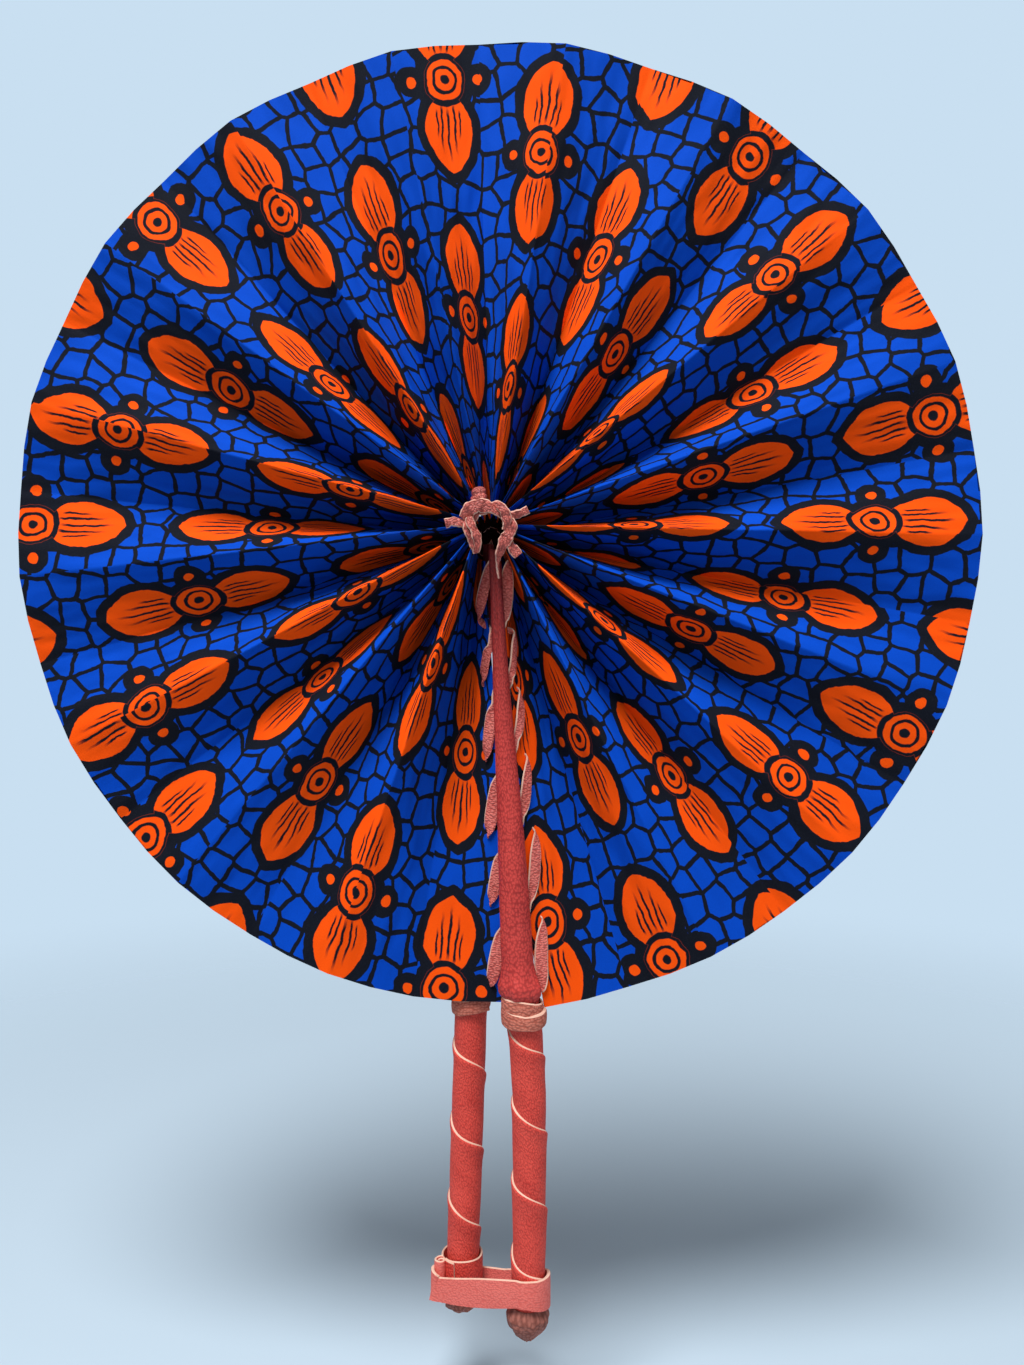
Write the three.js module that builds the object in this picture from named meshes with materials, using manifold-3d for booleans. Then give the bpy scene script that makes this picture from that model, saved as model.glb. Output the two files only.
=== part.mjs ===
// Folding hand fan, fully open: pleated printed cotton gathered on a leather lace at the hub, with a
// leather-covered stick at each free edge and a leather strap round both handles.
// Millimetres, +Z up, front towards -Y, origin at the centre of the hub hole, handles down.
import * as THREE from 'three';
import Module from 'manifold-3d';

const wasm = await Module();
wasm.setup();

const DEG = Math.PI / 180;

// Leaf: a strip of cotton with parallel creases, deep folds at the hub, nearly flat at the rim.
const FOLDS = 34;
const CLOTH = 0.6;
const FOLD_DEPTH_HUB = 31.7;
const FOLD_DEPTH_RIM = 5;
const HUB_START = 7.6;
const RIM_RADIUS = 168.7;
const RIM_CENTRE = [3.4, 4.4];
const RIM_STEP = 10.44;
const RIM_EVEN = 0.6;
const PART_HUB = 0.38;
const PART_RIM = 0.22;
const RIM_CROWN = 0.7;
const LEFT_EDGE = { hub: [-2.2, -0.8, -HUB_START - 1.4], rim: [4.6, -0.8, RIM_CENTRE[1] + 1.2 - RIM_RADIUS] };
const RIGHT_EDGE = { hub: [4.4, -3.4, -HUB_START - 1.4], rim: [19.4, -7.6, RIM_CENTRE[1] + 1.5 - RIM_RADIUS] };

// Lace rings at the hub; the back one is drawn tighter.
const LACE_IN = 4.1;
const LACE_BACK_IN = 1.6;
const LACE_OUT = 9;
const LACE_THICK = 1.5;
const LACE_FRONT = -FOLD_DEPTH_HUB / 2 - 0.1;
const LACE_BACK = FOLD_DEPTH_HUB / 2 + 0.1;

// Sticks: a wooden rod, a sleeve inside the leaf, a spiral wrap on the handle, a collar, an end cap.
const STICK_TOP = -6.2;
const SLEEVE_END = RIM_CENTRE[1] + 5.1 - RIM_RADIUS;
const HANDLE_LENGTH = 104.6;
const WRAP_END = SLEEVE_END - HANDLE_LENGTH;
const ROD_END = WRAP_END - 5.8;
const TIP = WRAP_END - 12.3;
const STICKS = {
  left: {
    y: 8.7,
    path: [[-6, -0.7], [-55.6, -2.8], [-105.6, -4.7], [-159.2, -6.65], [-167.6, -6.95], [-281.6, -10.7]],
    hub: 2,
    hand: 5.7,
  },
  right: {
    y: -9,
    path: [
      [-6, 1.7], [-57.6, 4.3], [-92.6, 6.7], [-148.6, 9.7], [-159.2, 10.8],
      [-167.6, 12.2], [-193.6, 13.6], [-241.6, 13.6], [-281.6, 12.8],
    ],
    hub: 2.1,
    hand: 5.7,
  },
};
const HANDLE_BENDS = [8.4, 34.4, 82.4];
const SLEEVE_LEATHER = 0.7;
const WRAP_LEATHER = 1.2;
const WRAP_PITCH = 27;
const WRAP_EDGE = 0.42;

// Collars: distances of their upper and lower edges below the end of the sleeve.
const LEFT_COLLAR = [3.2, 8.2];
const RIGHT_UPPER_COLLAR = [0.6, 6.2];
const RIGHT_LOWER_COLLAR = [4.6, 10.6];

// Whip stitch along each free edge, as shares of the edge's length; both are wound the same way, and the
// long pass of each stitch is on the front.
const STITCHES = 6;
const STITCH_FIRST = 0.02;
const STITCH_PITCH = 0.157;
const STITCH_LONG = 0.78;
const STITCH_WIDE = 3;
const STITCH_SHIFT = 1.9;

// Strap round both handles.
const STRAP_TOP = WRAP_END + 11.2;
const STRAP_BOTTOM = WRAP_END - 0.2;
const STRAP_THICK = 1.4;
const STRAP_INNER = 7.1;
const STRAP_ROLL = [-6.9, -4.6];

const smooth = (t) => t * t * (3 - 2 * t);
const lerp = (a, b, t) => a + (b - a) * t;

function pathX(path, z) {
  for (let i = 1; i < path.length; i++) {
    if (z >= path[i][0] || i === path.length - 1) {
      const t = (z - path[i - 1][0]) / (path[i][0] - path[i - 1][0]);
      return lerp(path[i - 1][1], path[i][1], t);
    }
  }
  return 0;
}

// Direction from the hub at an angle measured clockwise from the bottom, seen from the front.
const outward = (a) => new THREE.Vector3(-Math.sin(a), 0, -Math.cos(a));
const sideways = (a) => new THREE.Vector3(-Math.cos(a), 0, Math.sin(a));

// The rim's circle has its own centre, a little above and to the right of the hub.
function rimAngle(k) {
  return RIM_STEP * k * DEG;
}

function hubAngle(k) {
  return lerp(38, 322, (k - 1) / (FOLDS - 2)) * DEG;
}

function rimPoint(k, way) {
  const d = outward(rimAngle(k)).multiplyScalar(RIM_RADIUS + way * RIM_EVEN);
  return d.add(new THREE.Vector3(RIM_CENTRE[0], 0, RIM_CENTRE[1]));
}

// A crease is the straight line from its hub end to its rim end; odd creases are at the back.
function crease(k) {
  if (k === 0) {
    return { hub: new THREE.Vector3(...LEFT_EDGE.hub), rim: new THREE.Vector3(...LEFT_EDGE.rim), side: sideways(0) };
  }
  if (k === FOLDS) {
    return { hub: new THREE.Vector3(...RIGHT_EDGE.hub), rim: new THREE.Vector3(...RIGHT_EDGE.rim), side: sideways(0) };
  }
  const way = k % 2 ? 1 : -1;
  const hub = outward(hubAngle(k)).multiplyScalar(HUB_START);
  hub.y = (way * FOLD_DEPTH_HUB) / 2;
  const rim = rimPoint(k, way);
  rim.y = (way * FOLD_DEPTH_RIM) / 2;
  return { hub, rim, side: sideways((hubAngle(k) + rimAngle(k)) / 2) };
}

function toManifold(positions, triangles) {
  const mesh = new wasm.Mesh({
    numProp: 3,
    vertProperties: new Float32Array(positions),
    triVerts: new Uint32Array(triangles),
  });
  mesh.merge();
  return new wasm.Manifold(mesh);
}

// A solid whose faces look outwards, whichever way round its triangles were listed.
function outwardSolid(positions, triangles) {
  const solid = toManifold(positions, triangles);
  if (solid.volume() > 0) return solid;
  for (let i = 0; i < triangles.length; i += 3) {
    [triangles[i + 1], triangles[i + 2]] = [triangles[i + 2], triangles[i + 1]];
  }
  return toManifold(positions, triangles);
}

function toGeometry(solid) {
  const mesh = solid.getMesh();
  const geometry = new THREE.BufferGeometry();
  geometry.setAttribute('position', new THREE.BufferAttribute(new Float32Array(mesh.vertProperties), 3));
  geometry.setIndex(new THREE.BufferAttribute(new Uint32Array(mesh.triVerts), 1));
  geometry.computeVertexNormals();
  return geometry;
}

// Closed solid from a grid of sections; each section is a closed loop of points.
function loft(sections, ring = false) {
  const n = sections[0].length;
  const positions = sections.flat().flatMap((p) => [p.x, p.y, p.z]);
  const triangles = [];
  const last = ring ? sections.length : sections.length - 1;
  for (let i = 0; i < last; i++) {
    const next = (i + 1) % sections.length;
    for (let j = 0; j < n; j++) {
      const a = i * n + j;
      const b = i * n + ((j + 1) % n);
      const c = next * n + j;
      const d = next * n + ((j + 1) % n);
      triangles.push(a, b, d, a, d, c);
    }
  }
  if (!ring) {
    const end = (sections.length - 1) * n;
    for (let j = 1; j < n - 1; j++) {
      triangles.push(0, j + 1, j);
      triangles.push(end, end + j, end + j + 1);
    }
  }
  return outwardSolid(positions, triangles);
}

// Round rod along a stick, with level sections at the given heights and radii.
function rod(stick, levels, around = 20) {
  return loft(levels.map(([z, r]) => {
    const x = pathX(stick.path, z);
    const loop = [];
    for (let j = 0; j < around; j++) {
      const a = (2 * Math.PI * j) / around;
      loop.push(new THREE.Vector3(x + r * Math.cos(a), stick.y + r * Math.sin(a), z));
    }
    return loop;
  }));
}

function tube(stick, levels, around = 20) {
  const outside = rod(stick, levels.map(([z, , r]) => [z, r]), around);
  const first = levels[0];
  const last = levels[levels.length - 1];
  const bore = levels.map(([z, r]) => [z, r]);
  bore.unshift([first[0] + 1, first[1]]);
  bore.push([last[0] - 1, last[1]]);
  return outside.subtract(rod(stick, bore, around));
}

// The two long edges of piece k of the cloth at a share s of the way from hub to rim.
function panelEdges(k, s) {
  const from = crease(k);
  const to = crease(k + 1);
  const part = lerp(PART_HUB, PART_RIM, s);
  return [
    from.hub.clone().lerp(from.rim, s).addScaledVector(from.side, part),
    to.hub.clone().lerp(to.rim, s).addScaledVector(to.side, -part),
  ];
}

// One flat piece of cloth between crease k and crease k + 1.
function panel(k) {
  const rows = 9;
  const columns = 2;
  const middle = [];
  for (let i = 0; i <= rows; i++) {
    const s = i / rows;
    const [a, b] = panelEdges(k, s);
    const row = [];
    for (let j = 0; j <= columns; j++) {
      const u = j / columns;
      const p = a.clone().lerp(b, u);
      const out = new THREE.Vector3(p.x, 0, p.z).normalize();
      row.push(p.addScaledVector(out, RIM_CROWN * 4 * u * (1 - u) * s));
    }
    middle.push(row);
  }
  const normal = (i, j) => {
    const along = middle[Math.min(i + 1, rows)][j].clone().sub(middle[Math.max(i - 1, 0)][j]);
    const across = middle[i][Math.min(j + 1, columns)].clone().sub(middle[i][Math.max(j - 1, 0)]);
    return across.cross(along).normalize();
  };
  const positions = [];
  for (const way of [1, -1]) {
    middle.forEach((row, i) => row.forEach((p, j) => {
      const q = p.clone().addScaledVector(normal(i, j), (way * CLOTH) / 2);
      positions.push(q.x, q.y, q.z);
    }));
  }
  const at = (i, j, back) => (back ? (rows + 1) * (columns + 1) : 0) + i * (columns + 1) + j;
  const triangles = [];
  const quad = (a, b, c, d) => triangles.push(a, b, c, a, c, d);
  for (let i = 0; i < rows; i++) {
    for (let j = 0; j < columns; j++) {
      quad(at(i, j, 0), at(i, j + 1, 0), at(i + 1, j + 1, 0), at(i + 1, j, 0));
      const [p, q, r, t] = [at(i, j, 1), at(i, j + 1, 1), at(i + 1, j + 1, 1), at(i + 1, j, 1)];
      triangles.push(p, r, q, p, t, r);
    }
    quad(at(i, 0, 0), at(i + 1, 0, 0), at(i + 1, 0, 1), at(i, 0, 1));
    quad(at(i, columns, 1), at(i + 1, columns, 1), at(i + 1, columns, 0), at(i, columns, 0));
  }
  for (let j = 0; j < columns; j++) {
    quad(at(0, j, 1), at(0, j + 1, 1), at(0, j + 1, 0), at(0, j, 0));
    quad(at(rows, j, 0), at(rows, j + 1, 0), at(rows, j + 1, 1), at(rows, j, 1));
  }
  return outwardSolid(positions, triangles);
}

// Whip stitch: a flat thong wound round a free edge of the cloth, steep on the front, short behind. Each
// turn runs from the edge to its slit over the share `there` of its length, and back over the rest.
function stitching(freeEdge, there) {
  const perTurn = 16;
  const wide = STITCH_WIDE;
  const deep = 1.75;
  const width = 3.6;
  const thick = 0.7;
  const arc = [];
  let total = 0;
  for (let i = 0; i <= 360; i++) {
    const a = (i * Math.PI) / 180;
    if (i) total += Math.hypot(wide * Math.sin(a), deep * Math.cos(a)) * DEG;
    arc.push(total);
  }
  const angleAt = (length) => {
    const turns = Math.floor(length / total);
    const left = length - turns * total;
    let i = 1;
    while (i < 360 && arc[i] < left) i++;
    const t = (left - arc[i - 1]) / (arc[i] - arc[i - 1]);
    return (i - 1 + t) * DEG + turns * 2 * Math.PI;
  };
  const length = freeEdge(0).c.distanceTo(freeEdge(1).c);
  const on = (arcLength, travel, lift) => {
    const { c, into } = freeEdge(travel / length);
    const off = new THREE.Vector3(-into.y, into.x, 0);
    const a = angleAt(arcLength);
    c.addScaledVector(into, STITCH_SHIFT - Math.cos(a) * (wide + lift));
    return c.addScaledVector(off, Math.sin(a) * (deep + lift));
  };
  const sections = [];
  const steps = STITCHES * perTurn;
  const travelAt = (turn) => {
    const whole = Math.floor(turn);
    const f = turn - whole;
    const share = f < 0.5 ? there * smooth(f * 2) : there + (1 - there) * smooth(f * 2 - 1);
    return (STITCH_FIRST + STITCH_PITCH * (whole + share)) * length;
  };
  for (let i = 0; i <= steps; i++) {
    const turn = (i / steps) * (STITCHES - 0.02) + 0.01;
    const before = [(turn - 0.01) * total, travelAt(Math.max(turn - 0.01, 0))];
    const after = [(turn + 0.01) * total, travelAt(turn + 0.01)];
    const d = [after[0] - before[0], after[1] - before[1]];
    const size = Math.hypot(...d);
    const across = [-d[1] / size, d[0] / size];
    const place = (w, lift) => on(turn * total + across[0] * w, travelAt(turn) + across[1] * w, lift);
    sections.push([
      place(-width / 2, -thick / 2),
      place(0, -thick / 2),
      place(width / 2, -thick / 2),
      place(width / 2, thick / 2),
      place(0, thick / 2),
      place(-width / 2, thick / 2),
    ]);
  }
  return loft(sections);
}

// Cloth with the slits that a whip stitch passes through.
function slitFor(cloth, freeEdge, there) {
  let result = cloth;
  for (let i = 0; i < STITCHES; i++) {
    const s = STITCH_FIRST + STITCH_PITCH * (i + there);
    const { c, into } = freeEdge(s);
    const angle = (Math.atan2(into.y, into.x) * 180) / Math.PI;
    c.addScaledVector(into, STITCH_SHIFT + STITCH_WIDE);
    c.z += there > 0.5 ? 1 : -1;
    const box = wasm.Manifold.cube([2.5, 4, 8.6], true).rotate([0, 0, angle]).translate([c.x, c.y, c.z]);
    result = result.subtract(box);
  }
  return result;
}

function slab(width, height, thick, x, y, z, turn) {
  const box = new THREE.BoxGeometry(width, thick, height, 1, 1, 1);
  box.rotateY(turn * DEG);
  box.translate(x, y, z);
  const position = box.getAttribute('position');
  return toManifold([...position.array], [...box.getIndex().array]);
}

// Flat ring of thong lying against the folds at the hub.
function laceRing(y, towards, inner) {
  const sections = [];
  const around = 40;
  for (let i = 0; i < around; i++) {
    const a = (2 * Math.PI * i) / around;
    const d = outward(a);
    const place = (r, lift) => d.clone().multiplyScalar(r).setY(y + towards * lift);
    sections.push([
      place(inner + 0.3, 0),
      place(LACE_OUT - 0.3, 0),
      place(LACE_OUT, 0.5 * LACE_THICK),
      place(LACE_OUT - 0.8, LACE_THICK),
      place(inner + 0.8, LACE_THICK),
      place(inner, 0.5 * LACE_THICK),
    ]);
  }
  return loft(sections, true);
}

function lump(x, y, z, a, b, c) {
  const ball = new THREE.SphereGeometry(1, 14, 9);
  ball.scale(a, b, c);
  ball.translate(x, y, z);
  const position = ball.getAttribute('position');
  const index = ball.getIndex().array;
  const key = new Map();
  const points = [];
  const to = [];
  for (let i = 0; i < position.count; i++) {
    const p = [position.getX(i), position.getY(i), position.getZ(i)];
    const name = p.map((v) => v.toFixed(4)).join();
    if (!key.has(name)) {
      key.set(name, points.length / 3);
      points.push(...p);
    }
    to.push(key.get(name));
  }
  const triangles = [];
  for (let i = 0; i < index.length; i += 3) {
    const t = [to[index[i]], to[index[i + 1]], to[index[i + 2]]];
    if (new Set(t).size === 3) triangles.push(...t);
  }
  return toManifold(points, triangles);
}

function hubLaceFront() {
  const y = LACE_FRONT - LACE_THICK / 2;
  return laceRing(LACE_FRONT, -1, LACE_IN)
    .add(lump(-4.2, y - 1.1, 11.2, 2.7, 1.7, 3.1))
    .add(lump(-3.4, y - 0.9, 7.9, 3.2, 1.5, 2.2))
    .add(slab(7.5, 3.6, 1.1, -12, y, 2.4, -4))
    .add(slab(7.5, 3.4, 1.1, 10.8, y, 4.6, -20))
    .add(slab(6.2, 3.6, 1.1, 7.6, y, -8.2, 45));
}

// Rolled edges of the handle wrap: a thin raised helix with a steep lower side.
function wrapEdge(stick, radius, top, bottom, start) {
  const per = 20;
  const turns = (top - bottom) / WRAP_PITCH;
  const steps = Math.round(turns * per);
  const sections = [];
  for (let i = 0; i <= steps; i++) {
    const z = lerp(top, bottom, i / steps);
    const a = start + ((top - z) / WRAP_PITCH) * 2 * Math.PI;
    const place = (r, down) => {
      const h = z - down;
      return new THREE.Vector3(pathX(stick.path, h) + r * Math.cos(a), stick.y + r * Math.sin(a), h);
    };
    sections.push([
      place(radius - 0.4, 0.1),
      place(radius - 0.4, -4.5),
      place(radius + 0.03, -4.5),
      place(radius + WRAP_EDGE, 0),
    ]);
  }
  return loft(sections);
}

function sleeve(stick) {
  const levels = [];
  const count = 9;
  for (let i = 0; i <= count; i++) {
    const t = i / count;
    const z = lerp(STICK_TOP, SLEEVE_END, t);
    const out = lerp(stick.hub, stick.hand - 0.15, smooth(t));
    levels.push([z, out - SLEEVE_LEATHER, out]);
  }
  return tube(stick, levels);
}

function woodRod(stick) {
  const levels = [];
  const count = 9;
  const hand = stick.hand - WRAP_LEATHER - 0.05;
  for (let i = 0; i <= count; i++) {
    const t = i / count;
    const z = lerp(STICK_TOP, SLEEVE_END, t);
    const inside = lerp(stick.hub, stick.hand - 0.15, smooth(t)) - SLEEVE_LEATHER - 0.05;
    levels.push([z, Math.min(inside, hand)]);
  }
  for (const below of HANDLE_BENDS) levels.push([SLEEVE_END - below, hand]);
  levels.push([ROD_END, hand]);
  return rod(stick, levels);
}

function handleWrap(stick, edgeEnd, start) {
  const top = SLEEVE_END - 0.2;
  const r = stick.hand;
  const levels = [top, ...HANDLE_BENDS.map((below) => SLEEVE_END - below), WRAP_END];
  const body = tube(stick, levels.map((z) => [z, r - WRAP_LEATHER, r]));
  return body.add(wrapEdge(stick, r, SLEEVE_END - 12.4, edgeEnd, start));
}

function band(stick, [above, below], gap, thick, tilt) {
  const top = SLEEVE_END - above;
  const bottom = SLEEVE_END - below;
  const inner = stick.hand + gap;
  const ring = tube(stick, [
    [top, inner, inner + thick - 0.2],
    [top - 0.8, inner, inner + thick],
    [bottom + 0.8, inner, inner + thick],
    [bottom, inner, inner + thick - 0.2],
  ], 28);
  const z = (top + bottom) / 2;
  const x = pathX(stick.path, z);
  return ring.translate([-x, -stick.y, -z]).rotate([0, tilt, 0]).translate([x, stick.y, z]);
}

function endCap(stick, skirt) {
  const r = stick.hand;
  const core = r - WRAP_LEATHER;
  const outline = [
    [WRAP_END - 0.3, r + 0.5],
    [WRAP_END - 2.8, r + 0.5],
    [WRAP_END - 6.8, r - 0.2],
    [WRAP_END - 9.8, r - 2.2],
    [TIP, r - 4.4],
  ];
  let cap = rod(stick, outline).subtract(rod(stick, [[WRAP_END + 1, core], [ROD_END - 0.1, core]]));
  if (skirt) {
    cap = cap.add(tube(stick, [
      [STRAP_TOP - 2.6, r + 0.1, r + 0.9],
      [STRAP_TOP - 4.6, r + 0.1, r + 0.75],
      [WRAP_END - 0.8, r + 0.1, r + 0.75],
    ]));
  }
  return cap;
}

// Loop of strap: the outline of both handles drawn tight, a rolled end at the left.
function strap() {
  const z = (STRAP_TOP + STRAP_BOTTOM) / 2;
  const a = new THREE.Vector2(pathX(STICKS.left.path, z), STICKS.left.y);
  const b = new THREE.Vector2(pathX(STICKS.right.path, z), STICKS.right.y);
  const turn = Math.atan2(b.y - a.y, b.x - a.x);
  const outline = (r) => {
    const loop = [];
    for (let i = 0; i <= 12; i++) {
      const t = turn + Math.PI / 2 + (Math.PI * i) / 12;
      loop.push([a.x + r * Math.cos(t), a.y + r * Math.sin(t)]);
    }
    for (let i = 0; i <= 12; i++) {
      const t = turn - Math.PI / 2 + (Math.PI * i) / 12;
      loop.push([b.x + r * Math.cos(t), b.y + r * Math.sin(t)]);
    }
    return loop;
  };
  const height = STRAP_TOP - STRAP_BOTTOM;
  const lift = (loop, past) => {
    const column = wasm.Manifold.extrude([loop], height + 2 * past);
    return column.translate([0, 0, STRAP_BOTTOM - past]);
  };
  const roll = (rx, ry, past) => {
    const loop = [];
    for (let i = 0; i < 20; i++) {
      const t = (2 * Math.PI * i) / 20;
      loop.push([rx * Math.cos(t), ry * Math.sin(t)]);
    }
    const standing = lift(loop, past).rotate([0, 0, (turn * 180) / Math.PI - 8]);
    return standing.translate([a.x + STRAP_ROLL[0], a.y + STRAP_ROLL[1], 0]);
  };
  const curl = roll(2.1, 3.6, 0).subtract(roll(0.9, 2.4, 1));
  const inside = lift(outline(STRAP_INNER), 1);
  return lift(outline(STRAP_INNER + STRAP_THICK), 0).add(curl).subtract(inside);
}

const fan = new THREE.Group();
fan.name = 'folding_fan';

const COLOURS = {
  cloth: 0x1f46c8,
  sleeve: 0x8e1f22,
  lace: 0xc4705c,
  collar: 0xb9694e,
  handle: 0xb8453a,
  cap: 0x6e3028,
  wood: 0xb98d5a,
};

function put(name, solid, colour) {
  const material = new THREE.MeshStandardMaterial({ color: COLOURS[colour], roughness: 0.8 });
  const mesh = new THREE.Mesh(toGeometry(solid), material);
  mesh.name = name;
  fan.add(mesh);
}

// A point of a free edge and the level direction from it into the cloth.
function leftEdge(s) {
  const [c, other] = panelEdges(0, s);
  return { c, into: other.sub(c).setZ(0).normalize() };
}

function rightEdge(s) {
  const [other, c] = panelEdges(FOLDS - 1, s);
  return { c, into: other.sub(c).setZ(0).normalize() };
}

for (let k = 0; k < FOLDS; k++) {
  let solid = panel(k);
  if (k === 0) solid = slitFor(solid, leftEdge, STITCH_LONG);
  if (k === FOLDS - 1) solid = slitFor(solid, rightEdge, 1 - STITCH_LONG);
  put(`panel_${String(k).padStart(2, '0')}`, solid, 'cloth');
}

put('hub_lace_front', hubLaceFront(), 'lace');
put('hub_lace_back', laceRing(LACE_BACK, 1, LACE_BACK_IN), 'lace');

put('left_rod', woodRod(STICKS.left), 'wood');
put('left_sleeve', sleeve(STICKS.left), 'sleeve');
put('left_lacing', stitching(leftEdge, STITCH_LONG), 'lace');
put('left_collar', band(STICKS.left, LEFT_COLLAR, 0.35, 1, 4), 'collar');
put('left_handle_wrap', handleWrap(STICKS.left, STRAP_TOP + 0.6, 2.9), 'handle');
put('left_end_cap', endCap(STICKS.left, true), 'cap');

put('right_rod', woodRod(STICKS.right), 'wood');
put('right_sleeve', sleeve(STICKS.right), 'sleeve');
put('right_lacing', stitching(rightEdge, 1 - STITCH_LONG), 'lace');
const upper = band(STICKS.right, RIGHT_UPPER_COLLAR, 0.5, 1, -5);
const lower = band(STICKS.right, RIGHT_LOWER_COLLAR, 0.5, 1.3, 3);
put('right_collar', upper.add(lower), 'collar');
put('right_handle_wrap', handleWrap(STICKS.right, STRAP_TOP + 0.6, 2.6), 'handle');
put('right_end_cap', endCap(STICKS.right, false), 'cap');

put('strap_loop', strap(), 'handle');

export default fan;
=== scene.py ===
"""Folding hand fan, open: pleated printed cotton, leather lacing, leather-wrapped sticks and a strap.

Lengths are millimetres until a mesh is made. X is to the right, Z is up and the front faces -Y.
The origin is the centre of the hub hole.
"""
import math

import bmesh
import bpy
import numpy as np
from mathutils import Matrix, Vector


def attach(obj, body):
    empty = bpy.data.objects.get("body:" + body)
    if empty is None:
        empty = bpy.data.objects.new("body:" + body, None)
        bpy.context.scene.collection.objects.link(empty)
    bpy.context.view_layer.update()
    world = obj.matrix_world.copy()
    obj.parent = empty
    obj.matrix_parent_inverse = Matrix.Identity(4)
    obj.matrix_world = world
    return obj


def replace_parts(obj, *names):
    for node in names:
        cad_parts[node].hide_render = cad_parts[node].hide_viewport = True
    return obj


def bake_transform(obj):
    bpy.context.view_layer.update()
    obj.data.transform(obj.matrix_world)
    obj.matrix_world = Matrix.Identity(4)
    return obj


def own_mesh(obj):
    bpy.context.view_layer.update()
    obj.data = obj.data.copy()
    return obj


MM = 0.001

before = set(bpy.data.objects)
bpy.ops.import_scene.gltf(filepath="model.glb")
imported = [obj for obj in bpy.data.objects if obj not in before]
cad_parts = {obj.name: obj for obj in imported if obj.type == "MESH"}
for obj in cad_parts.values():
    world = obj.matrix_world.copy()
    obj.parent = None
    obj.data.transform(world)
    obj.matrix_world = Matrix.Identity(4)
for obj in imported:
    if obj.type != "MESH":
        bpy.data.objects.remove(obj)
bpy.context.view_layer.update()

# Leaf: a strip of cotton with parallel creases, deep folds at the hub, nearly flat at the rim.
FOLDS = 34
CLOTH = 0.45
FOLD_WIDTH = 31.7
FOLD_DEPTH_HUB = 31.7
FOLD_DEPTH_RIM = 5.0
HUB_START = 7.6
HUB_SPAN = (38, 322)
RIM_RADIUS = 168.7
RIM_CENTRE = (3.4, 4.4)
RIM_STEP = 10.44
RIM_EVEN = 0.6
RIM_CROWN = 0.7
# The free edges on the sticks, from hub to rim.
FREE_EDGES = {
    0: ((-2.2, -0.8, -HUB_START - 1.4), (4.6, -0.8, RIM_CENTRE[1] + 1.2 - RIM_RADIUS)),
    FOLDS: ((4.4, -3.4, -HUB_START - 1.4), (19.4, -7.6, RIM_CENTRE[1] + 1.5 - RIM_RADIUS)),
}

# Sticks: centre lines as (z, x) points at one depth y, radii at the hub and of the wrapped handle, top of
# the sleeve, fall of the wrap in a turn and its first angle.
STICK_TOP = -6.2
SLEEVE_END = RIM_CENTRE[1] + 5.1 - RIM_RADIUS
WRAP_END = SLEEVE_END - 104.6
TIP = WRAP_END - 12.3
STRAP_TOP = WRAP_END + 11.2
STRAP_BOTTOM = WRAP_END - 0.2
STICKS = {
    "left": {
        "body": "left_stick",
        "y": 8.7,
        "path": (
            (-6, -0.7), (-55.6, -2.8), (-105.6, -4.7), (-159.2, -6.65), (-167.6, -6.95), (-281.6, -10.7),
        ),
        "hub": 2.0,
        "hand": 5.7,
        "sleeve_top": -2.0,
        "pitch": 27.6,
        "turn": 1.23,
    },
    "right": {
        "body": "right_stick",
        "y": -9.0,
        "path": (
            (-6, 1.7), (-57.6, 4.3), (-92.6, 6.7), (-148.6, 9.7), (-159.2, 10.8), (-167.6, 12.2),
            (-193.6, 13.6), (-241.6, 13.6), (-281.6, 12.8),
        ),
        "hub": 2.1,
        "hand": 5.7,
        "sleeve_top": STICK_TOP,
        "pitch": 25.6,
        "turn": 3.76,
    },
}
WRAP_FIRST = SLEEVE_END - 12.4

# Whip stitch: where each long pass on the front starts and ends, as shares of the free edge's length.
STITCHES = 6
LEAVES = {
    "left": ((0.0, 0.125), (0.195, 0.268), (0.33, 0.444), (0.487, 0.616), (0.658, 0.77), (0.826, 0.956)),
    "right": ((0.005, 0.133), (0.163, 0.258), (0.296, 0.396), (0.447, 0.567), (0.614, 0.758), (0.81, 0.958)),
}

# Camera: its place, and the long side's field of view in degrees.
CAMERA_PLACE = (7.7, -360.0, -51.4)
CAMERA_FIELD = 67.2


def smooth(t):
    """Eases a share in and out, and holds it between 0 and 1."""
    t = np.clip(t, 0, 1)
    return t * t * (3 - 2 * t)


def lerp(a, b, t):
    return a + (b - a) * t


def unit(v):
    return v / np.maximum(np.linalg.norm(v, axis=-1, keepdims=True), 1e-9)


def outward(angle):
    """Direction from the hub, at an angle measured clockwise from the bottom as seen from the front."""
    return np.array([-math.sin(angle), 0.0, -math.cos(angle)])


def columns(*values):
    """Rows made of one array, or one number, for each column."""
    return np.stack(np.broadcast_arrays(*values), axis=1)


def path_x(stick, z):
    """How far to the right a stick's centre line is at a height."""
    heights, places = np.array(stick["path"]).T
    return np.interp(-z, -heights, places)


# Mesh making

def add_object(name, data):
    thing = bpy.data.objects.new(name, data)
    bpy.context.scene.collection.objects.link(thing)
    return thing


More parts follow.
